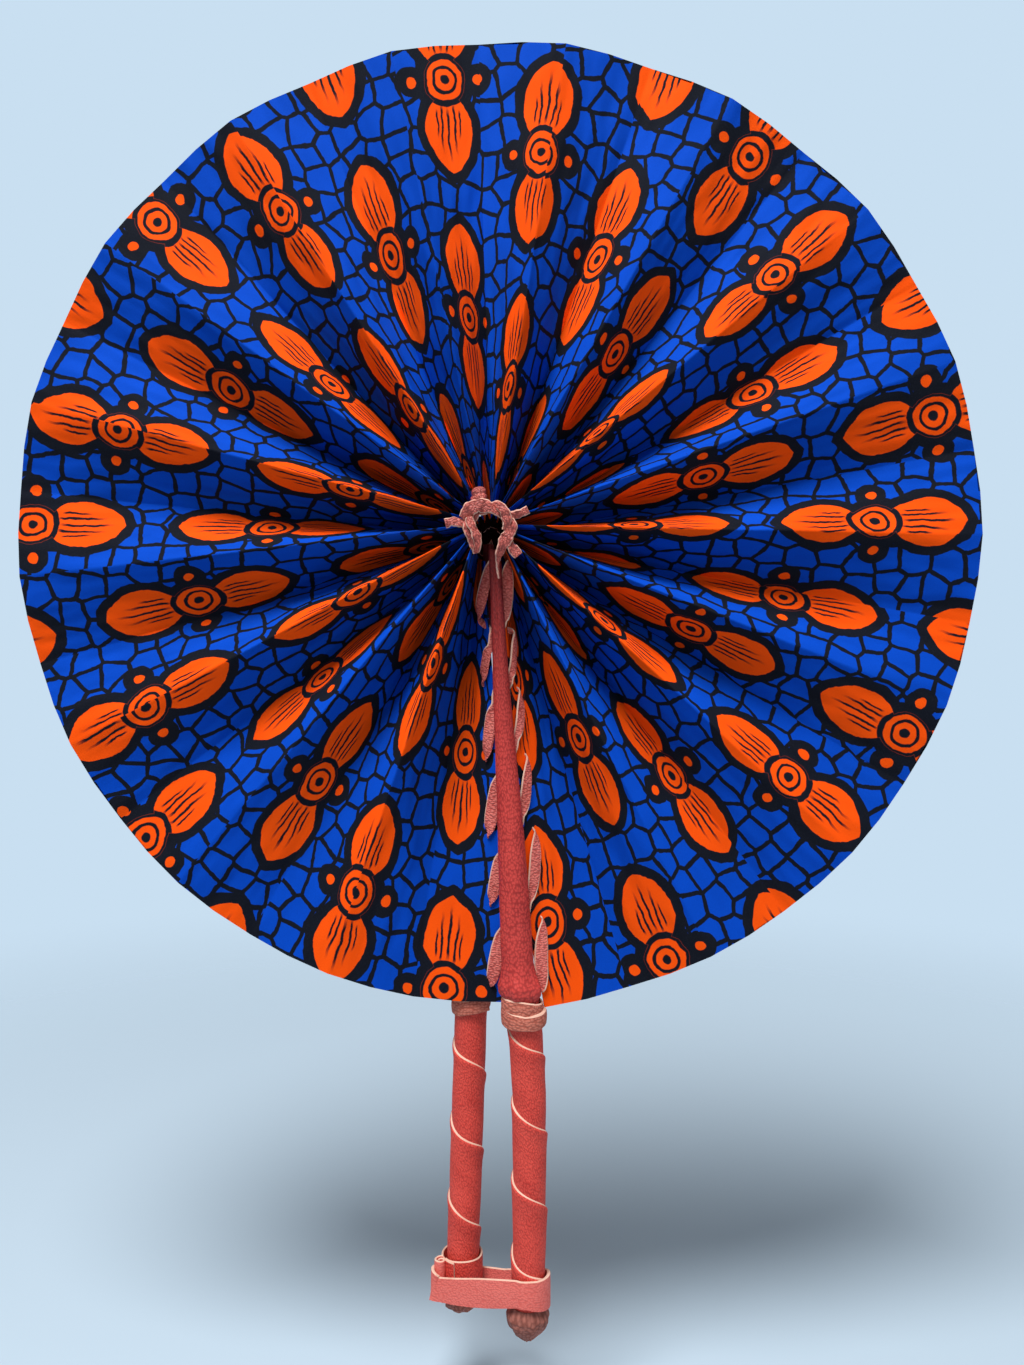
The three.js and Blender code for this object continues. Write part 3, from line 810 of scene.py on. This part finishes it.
# Degrees go round a handle from its right side by the back; 270 faces the front.
LEFT_COLLAR = (
    (-120, -163.0, -168.2, 0.75), (0, -162.2, -167.2, 0.75), (90, -163.0, -168.2, 0.8),
    (180, -164.2, -169.6, 0.85), (240, -164.0, -169.3, 1.0), (280, -163.2, -168.4, 1.3),
    (300, -162.6, -167.6, 1.9), (315, -162.1, -167.1, 3.2),
)
RIGHT_COLLAR_INNER = (
    (-60, -159.6, -165.4, 0.75), (0, -160.3, -166.0, 0.8), (90, -159.6, -165.4, 0.8),
    (180, -157.9, -163.6, 0.8), (270, -158.8, -164.6, 0.8), (300, -159.4, -165.2, 0.8),
)
RIGHT_COLLAR_OUTER = (
    (-150, -163.4, -168.4, 0.9), (-80, -163.4, -168.4, 0.95), (0, -162.3, -168.0, 1.1),
    (90, -161.6, -167.6, 1.3), (180, -160.6, -167.8, 1.45), (230, -162.6, -168.3, 1.45),
    (270, -163.6, -168.5, 1.45), (330, -162.9, -168.2, 1.5), (360, -162.4, -167.8, 1.6),
)
LEFT_FOOT = (
    (-150, -255.7, FOOT_END, 1.0), (0, -255.3, FOOT_END, 1.1), (120, -255.7, FOOT_END, 1.3),
    (210, -255.5, FOOT_END, 1.6), (250, -255.9, FOOT_END, 1.85),
)


# The end caps, blunt at the left and with a skirt at the right: distance below the end of the wrap, height
# over the handle, and depth of the gathers.
CAP_OUTLINES = {
    "left": (
        (-0.5, 0.2, 0.0), (0.4, 0.55, 0.0), (1.6, 0.8, 0.05), (3.2, 0.85, 0.1), (5.0, 0.9, 0.16),
        (6.8, 0.85, 0.24), (8.4, 0.65, 0.3), (9.8, 0.1, 0.34), (11.0, -1.1, 0.34), (11.9, -2.6, 0.26),
        (12.8, -5.1, 0.1),
    ),
    "right": (
        (-0.5, 0.2, 0.0), (0.4, 0.55, 0.0), (1.6, 1.2, 0.05), (3.2, 1.7, 0.1), (5.0, 1.4, 0.16),
        (6.8, 0.55, 0.24), (8.4, -0.75, 0.3), (9.8, -2.1, 0.34), (11.0, -3.4, 0.34), (11.9, -4.3, 0.26),
        (WRAP_END - TIP, -5.1, 0.1),
    ),
}


def end_cap(side):
    """Leather drawn over the stick's end and gathered to a point."""
    stick = STICKS[side]
    hand = stick["hand"]
    outline = np.array(CAP_OUTLINES[side])
    rings, distance = [], []
    for place in np.linspace(0, len(outline) - 1, 41):
        below, out, gather = (np.interp(place, range(len(outline)), column) for column in outline.T)
        folds = np.sin(7 * ROUND + 2.0 * math.sin(place)) + 0.5 * np.sin(12 * ROUND + 1.1 * place)
        radius = np.maximum(hand + out + gather * folds, 0.12)
        rings.append(ring_points(stick, WRAP_END - below, radius, ROUND))
        distance.append(below - out)
    piece = tube(f"{side}_cap_leather", rings, distance, hand, CAP, sharp=70)
    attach(piece, stick["body"])
    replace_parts(piece, f"{side}_end_cap")


COLLAR_THICK = 0.8
FOOT_THICK = 0.7

for end in ("left", "right"):
    sleeve(end)
    handle_wrap(end)
    end_cap(end)
    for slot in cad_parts[f"{end}_rod"].material_slots:
        slot.material = WOOD

for label, end, route, stands_for in (
    ("left_collar_band", "left", LEFT_COLLAR, "left_collar"),
    ("right_collar_inner", "right", RIGHT_COLLAR_INNER, "right_collar"),
    ("right_collar_outer", "right", RIGHT_COLLAR_OUTER, None),
):
    band = wound(label, STICKS[end], route, COLLAR_THICK, COLLAR)
    if stands_for:
        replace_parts(band, stands_for)
foot = wound("left_foot_leather", STICKS["left"], LEFT_FOOT, FOOT_THICK, HANDLE, crown=0.05)


# Lacing along the free edges

def press_flat(piece, anchor):
    """Gives the piece a mesh of its own."""
    tuple(np.array(anchor) * MM)
    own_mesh(piece)


def free_edge(side, s):
    """A point of a free edge, and the level direction from it into the cloth."""
    near = (0, 1) if side == "left" else (FOLDS, FOLDS - 1)
    point, inner = (np.array([np.interp(s, LEAF_SHARE, column) for column in CREASES[k].T]) for k in near)
    into = inner - point
    into[2] = 0
    return point, unit(into)


# Shares of a stitch at which its long pass on the front starts and ends.
LEAF_SPAN = {"left": (0.17, 0.82), "right": (0.03, 0.72)}

# Share of the free edge that is near the hub. There the thong is narrower, and moved towards the sleeve.
NEAR_HUB = 0.25
HUB_LEAF_NARROWED = {"left": 0.28, "right": 0.1}
HUB_LEAF_MOVED = 1.8

LACING_THICK = 0.7

# One stitch from top to bottom: share of the stitch, place from the free edge into the cloth, height over
# its front, how far the thong faces the front and how far it faces into the cloth, and its width.
LEFT_STITCH = (
    (0.00, -0.5, 0.2, 0.15, -1.0, 2.0), (0.14, -0.5, 0.5, 0.25, -1.0, 2.1),
    (0.20, -0.1, 0.9, 0.8, -0.7, 3.0), (0.28, 0.7, 1.15, 1.0, -0.25, 4.1),
    (0.42, 1.6, 1.25, 1.0, -0.05, 4.8), (0.60, 2.7, 1.25, 1.0, 0.0, 4.9),
    (0.72, 3.5, 1.1, 1.0, 0.1, 4.6), (0.79, 4.2, 0.8, 1.0, 0.35, 4.0),
    (0.84, 4.8, 0.2, 0.4, 1.0, 3.2), (0.87, 4.8, -0.4, -0.4, 1.0, 2.8),
    (0.91, 3.4, -0.9, -1.0, 0.3, 2.8), (0.96, 1.0, -0.9, -1.0, -0.3, 2.6),
    (0.985, -0.4, -0.5, -0.4, -1.0, 2.2), (1.00, -0.5, 0.2, 0.15, -1.0, 2.0),
)
RIGHT_STITCH = (
    (0.00, 4.9, 0.0, 0.2, 1.0, 2.0), (0.05, 4.7, 0.7, 0.9, 0.5, 2.8),
    (0.12, 4.2, 1.1, 1.0, 0.2, 4.0), (0.26, 3.3, 1.3, 1.0, 0.05, 4.9),
    (0.44, 2.2, 1.3, 1.0, 0.0, 4.9), (0.58, 1.3, 1.2, 1.0, -0.15, 4.3),
    (0.68, 0.5, 1.0, 0.9, -0.5, 3.2), (0.76, -0.2, 0.7, 0.35, -1.0, 2.2),
    (0.90, -0.5, 0.3, 0.15, -1.0, 2.0), (0.93, -0.5, -0.4, -0.5, -1.0, 2.2),
    (0.955, 1.2, -0.9, -1.0, -0.2, 2.6), (0.98, 3.8, -0.9, -1.0, 0.4, 2.4),
    (1.00, 4.9, 0.0, 0.2, 1.0, 2.0),
)


def lacing(side):
    """Whip stitch: a flat thong, broad as a leaf across the front and edge-on along the free edge."""
    left = side == "left"
    table = np.array(LEFT_STITCH if left else RIGHT_STITCH)
    per_turn = 44
    start, end = LEAF_SPAN[side][0] - 0.03, STITCHES - 1 + LEAF_SPAN[side][1] + 0.08
    turns = np.linspace(start, end, STITCHES * per_turn)
    share = turns % 1.0
    rows = columns(*(np.interp(share, table[:, 0], table[:, i]) for i in range(1, 6)))
    for _ in range(2):
        rows[1:-1] = (rows[:-2] + 2 * rows[1:-1] + rows[2:]) / 4
    lean = 0.3 * np.sin(2.9 * (turns // 1) + (0.4 if left else 2.0)) * np.sin(math.pi * share)
    knots = [number + place for number in range(STITCHES) for place in LEAF_SPAN[side]]
    places = np.interp(turns, knots, np.ravel(LEAVES[side]))
    centre, up, narrowed = [], [], []
    beside = np.array([-1.0 if left else 1.0, 0.0, 0.0])
    for place, (inset, height, ahead, inward, _), slip in zip(places, rows, lean):
        point, into = free_edge(side, place)
        near_hub = smooth(1 - place / NEAR_HUB)
        into = unit(lerp(into, beside, near_hub))
        out_of = np.array([into[1], -into[0], 0.0])
        if out_of[1] > 0:
            out_of = -out_of
        centre.append(point + into * (inset + slip - HUB_LEAF_MOVED * near_hub) + out_of * height)
        up.append(out_of * ahead + into * inward)
        narrowed.append(1 - HUB_LEAF_NARROWED[side] * near_hub)
    width = rows[:, 4] * (1 + 0.06 * np.sin(3.7 * turns)) * narrowed
    pale = NEAR_EDGE if left else NEAR_EDGE + FAR_EDGE
    points, uv = thong_shape(np.array(centre), unit(np.array(up)), width, LACING_THICK, crown=0.12, edge=0.4)
    edge = CREASES[0 if left else FOLDS]
    axis = unit(np.cross(edge[-1] - edge[0], np.array([0.0, 1.0, 0.0])))
    cuts = [0, *(int(np.searchsorted(turns, number)) for number in range(1, STITCHES)), len(turns) - 1]
    for number, _, piece in lengths(f"{side}_lacing", cuts, points, uv, [LACE, EDGE], pale):
        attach(piece, STICKS[side]["body"])
        press_flat(piece, free_edge(side, np.mean(LEAVES[side][number]))[0])
        if number == 0:
            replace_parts(piece, f"{side}_lacing")


lacing("left")
lacing("right")


# Hub lace

LACE_DEPTH = FOLD_DEPTH_HUB / 2 + 0.1
LACE_THICK = 0.9


def crease_near(x, z, front):
    """The front, or the back, crease whose inner end is nearest to a place in the ring."""
    angle = math.degrees(math.atan2(-x, -z)) % 360
    place = 1 + (angle - math.degrees(hub_angle(1))) / math.degrees(hub_angle(2) - hub_angle(1))
    if front:
        return int(np.clip(2 * round(place / 2), 0, FOLDS))
    return int(np.clip(2 * round((place - 1) / 2) + 1, 1, FOLDS - 1))


def press_on_crease(piece, k):
    """Gives the piece a mesh of its own, through press_flat."""
    hub, rim = crease_ends(k)
    angle = math.atan2(hub[0] - rim[0], hub[2] - rim[2])
    press_flat(piece, outward(hub_angle(k)) * HUB_START)


def lace(name, table, front=True, crease=None, stands_for=None):
    """A strip of thong on the folds' inner ends: rows of x, z, height over the folds, width and roll.

    Without one crease of its own it is cut into lengths that ride on the creases beneath them."""
    way = -1.0 if front else 1.0
    x, z, lift, width, roll = curve_through(table).T
    run = np.arange(len(x)) * 0.3 + len(name)
    lift = lift + 0.12 * np.sin(1.9 * run)
    width = width * (1 + 0.09 * np.sin(1.3 * run) + 0.05 * np.sin(3.1 * run))
    roll = roll + 11 * np.sin(0.9 * run) + 5 * np.sin(2.6 * run)
    # The back lace's underside takes the painted shade.
    materials = [HUB, HUB_EDGE] if front else [HUB, HUB_EDGE, HUB_PAINTED_SHADE]
    centre = columns(x, way * (LACE_DEPTH + LACE_THICK / 2 + lift), z)
    forward = unit(np.gradient(centre, axis=0))
    face = np.array([0.0, way, 0.0])
    across = unit(np.cross(forward, face))
    turn = np.radians(roll)[:, None]
    up = face * np.cos(turn) + across * np.sin(turn)
    points, uv = thong_shape(centre, up, width, LACE_THICK, crown=0.15, edge=0.3)
    near = [crease_near(a, b, front) if crease is None else crease for a, b in zip(x, z)]
    cuts = [0, *(i for i in range(1, len(near) - 1) if near[i] != near[i - 1]), len(near) - 1]
    for number, first, piece in lengths(name, cuts, points, uv, materials):
        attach(piece, body_at(near[first]))
        press_on_crease(piece, near[first])
        if number == 0 and stands_for:
            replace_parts(piece, stands_for)


def round_hub(radius, first, last, lift, width, roll=0.0):
    """Rows for an arc of the lace at an even distance from the middle."""
    i = np.arange(25)
    turn = np.radians(np.linspace(first, last, 25))
    reach = radius + 0.15 * np.sin(2.3 * i)
    x, z = -reach * np.sin(turn), -reach * np.cos(turn)
    return columns(x, z, lift + 0.1 * np.sin(1.7 * i), width * (1 + 0.06 * np.sin(1.3 * i)), roll)


# Rows for lace(): the thongs on the front, and the loose ends, each after the number of the crease it is on.
HUB_THONGS = {
    "hub_left": (
        (-4.4, -8.2, -0.6, 2.0, 0), (-5.1, -5.4, 0.3, 2.7, 8), (-6.3, -2.2, 0.9, 3.2, 10),
        (-7.2, 0.9, 1.0, 3.3, 6), (-7.0, 3.4, 0.9, 3.2, 0), (-6.2, 5.4, 0.7, 3.0, 0),
        (-4.6, 6.9, 0.6, 2.8, 0),
    ),
    "hub_left_inner": (
        (-6.6, 3.6, 1.6, 2.4, -10), (-6.2, 1.8, 2.0, 2.9, -14), (-5.1, -0.4, 2.2, 3.0, -16),
        (-4.1, -2.8, 2.1, 3.1, -10), (-3.7, -5.3, 1.5, 2.9, 4), (-4.2, -7.7, 0.7, 1.9, 12),
    ),
    "hub_top": (
        (-8.9, 3.6, 0.9, 2.4, 0), (-8.0, 4.9, 1.5, 3.6, 6), (-6.2, 6.4, 2.0, 4.5, 8),
        (-3.6, 7.4, 2.2, 4.8, 4), (-0.9, 7.2, 2.0, 4.4, 0), (1.6, 6.3, 1.6, 3.6, -8),
        (3.6, 5.2, 1.0, 2.6, -12),
    ),
    "hub_right": (
        (0.9, 8.0, 1.0, 1.8, 10), (3.0, 7.6, 1.9, 2.8, 14), (4.8, 6.1, 2.4, 3.4, 8),
        (5.8, 3.8, 2.3, 3.4, 0), (5.9, 1.4, 1.9, 3.0, -8), (5.2, -0.6, 1.2, 1.8, -14),
    ),
    "hub_tail": (
        (7.2, 3.4, 0.6, 2.4, 6), (7.6, 0.9, 1.1, 3.6, 8), (6.5, -2.1, 1.4, 4.3, 4),
        (4.9, -5.0, 1.2, 4.1, -6), (3.6, -7.9, 0.1, 3.0, -20), (2.9, -10.6, -1.8, 1.7, -32),
        (2.9, -13.2, -3.4, 1.2, -36), (3.3, -16.0, -4.3, 1.0, -30),
    ),
}
HUB_ENDS = {
    "hub_end_left": (
        10,
        (-7.2, 1.2, 0.1, 2.8, 0), (-9.4, 1.8, 0.5, 3.0, 6), (-12.0, 2.3, 0.8, 3.3, 8),
        (-14.6, 1.7, 0.6, 3.4, 4),
    ),
    "hub_end_right": (
        24,
        (6.0, 4.2, 0.2, 2.6, 0), (8.2, 4.5, 0.6, 2.8, 14), (10.6, 5.1, 0.9, 3.0, 18),
        (13.1, 6.3, 0.8, 2.8, 12),
    ),
    "hub_end_low": (
        32,
        (5.9, -3.6, 0.0, 3.3, 0), (7.1, -5.6, 0.4, 3.4, -12), (8.5, -7.3, 0.6, 3.5, -16),
        (9.9, -9.0, 0.4, 3.5, -8),
    ),
}

lace("hub_bed", round_hub(6.6, 48, 312, 0.0, 3.0), stands_for="hub_lace_front")
for label, route in HUB_THONGS.items():
    lace(label, route)
lace("hub_back_outer", round_hub(7.6, 24, 336, 0.0, 6.0), front=False, stands_for="hub_lace_back")
inner_ring = round_hub(2.9, 24, 336, 0.25, 5.8, 4.0)
lace("hub_back_inner", inner_ring, front=False)
for label, (crease, *route) in HUB_ENDS.items():
    lace(label, route, crease=crease)


def knot():
    """The knot above the hole: thong drawn into a lump, with a furrow where one turn laps the other."""
    x, z = -3.4, 10.9
    wide, deep, tall = 2.7, 1.9, 3.0
    angles = np.linspace(0, math.tau, 40, endpoint=False)
    rows, uv = [], []
    for lean in np.linspace(-math.pi / 2, math.pi / 2, 25):
        height = math.sin(lean)
        reach = max(math.cos(lean), 0.02) ** 0.8
        furrow = 1 - 0.2 * math.exp(-(((height - 0.15) / 0.16) ** 2))
        fold = 1 + 0.07 * np.sin(3 * angles + 4 * height) + 0.04 * np.sin(7 * angles - 3 * height)
        around = reach * furrow * fold
        slope = 0.25 * height
        across = x - slope + wide * around * np.cos(angles)
        depth = -LACE_DEPTH - 1.4 + deep * around * np.sin(angles)
        rows.append(columns(across, depth, z + tall * height + 0.5 * np.cos(angles) * reach))
        uv.append([(wide * angle, tall * lean) for angle in (*angles, math.tau)])
    piece = grid("hub_knot", rows, [HUB], uv=uv, closed=True, sharp=80)
    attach(piece, body_at(18))
    press_on_crease(piece, 18)


knot()


# Strap

STRAP_THICK = 1.1
STRAP_RADIUS = 6.95
# The bight at the strap's left end: places from the left handle's centre, upper edge and width.
STRAP_BIGHT = (
    (-8.9, -2.6, -258.8, 11.4), (-10.0, -4.1, -258.2, 12.0), (-10.4, -5.5, -258.0, 12.0),
    (-9.9, -6.9, -258.8, 11.0), (-8.3, -7.6, -260.2, 8.9),
)
# Round the handles: degrees from the right side by the back, upper edge and width.
STRAP_ROUND_LEFT = ((50, -263.5, 9.0), (90, -263.2, 9.0), (130, -262.2, 9.4), (185, -260.0, 10.6))
STRAP_ROUND_RIGHT = (
    (230, -252.6, 9.3), (270, -252.0, 9.6), (315, -252.2, 11.0), (360, -252.6, 11.6), (410, -254.6, 10.4),
)
STRAP_FRONT = ((0.25, -258.6, 9.4), (0.6, -255.6, 10.0))
STRAP_BACK = (-260.0, 9.4)
# The rolled end: its middle from the left handle's centre, its outer and inner reach, upper edge and width.
STRAP_CURL = (-7.7, -4.8)
CURL_REACH = (2.1, 0.7)
CURL_TOP = -255.3
CURL_WIDTH = 9.0
CURL_THICK = 0.75


def strip_standing(name, rows, thick, step=0.5):
    """A strip on edge: rows of x, y, upper edge and width."""
    x, y, top, width = curve_through(rows, step).T
    centre = columns(x, y, top - width / 2)
    forward = unit(np.gradient(centre * np.array([1, 1, 0]), axis=0))
    up = unit(np.cross(forward, np.array([0.0, 0.0, 1.0])))
    piece = thong(name, centre, up, width, thick, STRAP, crown=0.12, edge=0.3)
    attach(piece, "strap")
    return piece


def strap():
    """Band round both handles: a flat strip drawn tight, with a bight at its left end and a curl in that."""
    z = (STRAP_TOP + STRAP_BOTTOM) / 2
    a, b = (np.array([path_x(STICKS[side], z), STICKS[side]["y"]]) for side in ("left", "right"))

    def around(centre, reach, turn, top, width):
        return columns(centre[0] + reach * np.cos(turn), centre[1] + reach * np.sin(turn), top, width)

    def drawn_round(centre, table):
        degrees, tops, widths = np.array(table, float).T
        q = np.arange(degrees[0], degrees[-1] + 1, 15)
        top, width = np.interp(q, degrees, tops), np.interp(q, degrees, widths)
        return around(centre, STRAP_RADIUS, np.radians(q), top, width)

    left = drawn_round(a, STRAP_ROUND_LEFT)
    right = drawn_round(b, STRAP_ROUND_RIGHT)
    bight = [(a[0] + x, a[1] + y, top, width) for x, y, top, width in STRAP_BIGHT]
    ends = np.array(bight[-1][:2]), right[0][:2]
    front = [(*lerp(*ends, share), top, width) for share, top, width in STRAP_FRONT]
    meet = (*lerp(right[-1][:2], left[0][:2], 0.5), *STRAP_BACK)
    rows = [meet, *left, *bight, *front, *right, meet]
    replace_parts(strip_standing("strap_band", rows, STRAP_THICK), "strap_loop")
    t = np.linspace(0, 1, 28)
    reach, turn = lerp(*CURL_REACH, t), np.radians(60 + 470 * t)
    curl = around(a + np.array(STRAP_CURL), reach, turn, CURL_TOP - 0.5 * t, CURL_WIDTH)
    strip_standing("strap_curl", curl, CURL_THICK, step=0.25)


strap()


# Stage, light and camera

BACKDROP = (201, 223, 241)
FLOOR = (186, 204, 218)
# Room between the fan's tip and the floor, and metres from the fan between which the floor fades.
STRAP_ROOM = 33.0
FLOOR_FADE = (0.3, 0.95)
# Each lamp: place, aim, size in metres, and power in watts.
LAMPS = {
    "key": ((-0.25, -0.62, 1.25), (0.0, 0.0, -0.03), 0.7, 31.0),
    "fill": ((1.1, -1.2, 0.3), (0.0, 0.0, -0.05), 1.0, 2.5),
}
SKY = (0.93, 0.96, 1.0)
SKY_STRENGTH = 0.29


def mix_shaders(tree, share, first, second, output):
    """Shows a share of the second shader over the first."""
    sides = (Field(tree, shader.outputs[0]) for shader in (first, second))
    mix = add_node(tree, "ShaderNodeMixShader", enumerate((share, *sides)))
    tree.links.new(mix.outputs[0], tree.nodes[output].inputs["Surface"])


def stage_material():
    """Pale paint that fades out into the backdrop with distance from the fan, in metres."""
    material, tree, shader = new_material("stage", roughness=0.9, specular=0.1)
    shader.inputs["Base Color"].default_value = screen(*FLOOR)
    place = add_node(tree, "ShaderNodeTexCoord")
    distance = add_node(tree, "ShaderNodeVectorMath", ((0, Field(tree, place.outputs["Object"])),))
    distance.operation = "LENGTH"
    fade = Field(tree, distance.outputs["Value"]).step(*FLOOR_FADE)
    mix_shaders(tree, fade, shader, add_node(tree, "ShaderNodeBsdfTransparent"), "Material Output")
    return material


def stage():
    """A pale floor under the fan, low enough for the strap when it is pulled off."""
    floor = TIP - STRAP_ROOM
    spread = (-2000.0, -700.0, 0.0, 700.0, 2000.0)
    points = [[(x, y, floor) for x in spread] for y in spread]
    grid("floor", points, [stage_material()], sharp=180)


def lamp(name, place, aim, size, power):
    data = bpy.data.lights.new(name, "AREA")
    data.shape = "DISK"
    data.size = size
    data.energy = power
    source = add_object(name, data)
    source.location = place
    direction = np.array(aim) - np.array(place)
    source.rotation_mode = "QUATERNION"
    source.rotation_quaternion = Vector(direction).to_track_quat("-Z", "Y")


def light():
    """The lamps, a soft sky, and a pale backdrop where a view or a reflection looks past the fan."""
    for name, settings in LAMPS.items():
        lamp(name, *settings)
    world = bpy.data.worlds.new("studio")
    bpy.context.scene.world = world
    world.use_nodes = True
    tree = world.node_tree
    soft = tree.nodes["Background"]
    soft.inputs["Color"].default_value = (*SKY, 1.0)
    soft.inputs["Strength"].default_value = SKY_STRENGTH
    seen = add_node(tree, "ShaderNodeBackground", (("Color", screen(*BACKDROP)),))
    rays = add_node(tree, "ShaderNodeLightPath")
    shown = Field(tree, rays.outputs["Is Camera Ray"])
    for ray in ("Is Glossy Ray", "Is Transmission Ray"):
        shown = shown.maximum(Field(tree, rays.outputs[ray]))
    mix_shaders(tree, shown, soft, seen, "World Output")


def camera():
    data = bpy.data.cameras.new("camera")
    data.sensor_width = 36.0
    data.lens = 18.0 / math.tan(math.radians(CAMERA_FIELD / 2))
    data.clip_start = 0.01
    eye = add_object("camera", data)
    eye.location = [length * MM for length in CAMERA_PLACE]
    eye.rotation_euler = (math.pi / 2, 0.0, 0.0)
    bpy.context.scene.camera = eye


stage()
light()
camera()
bpy.context.scene.view_settings.view_transform = "Standard"
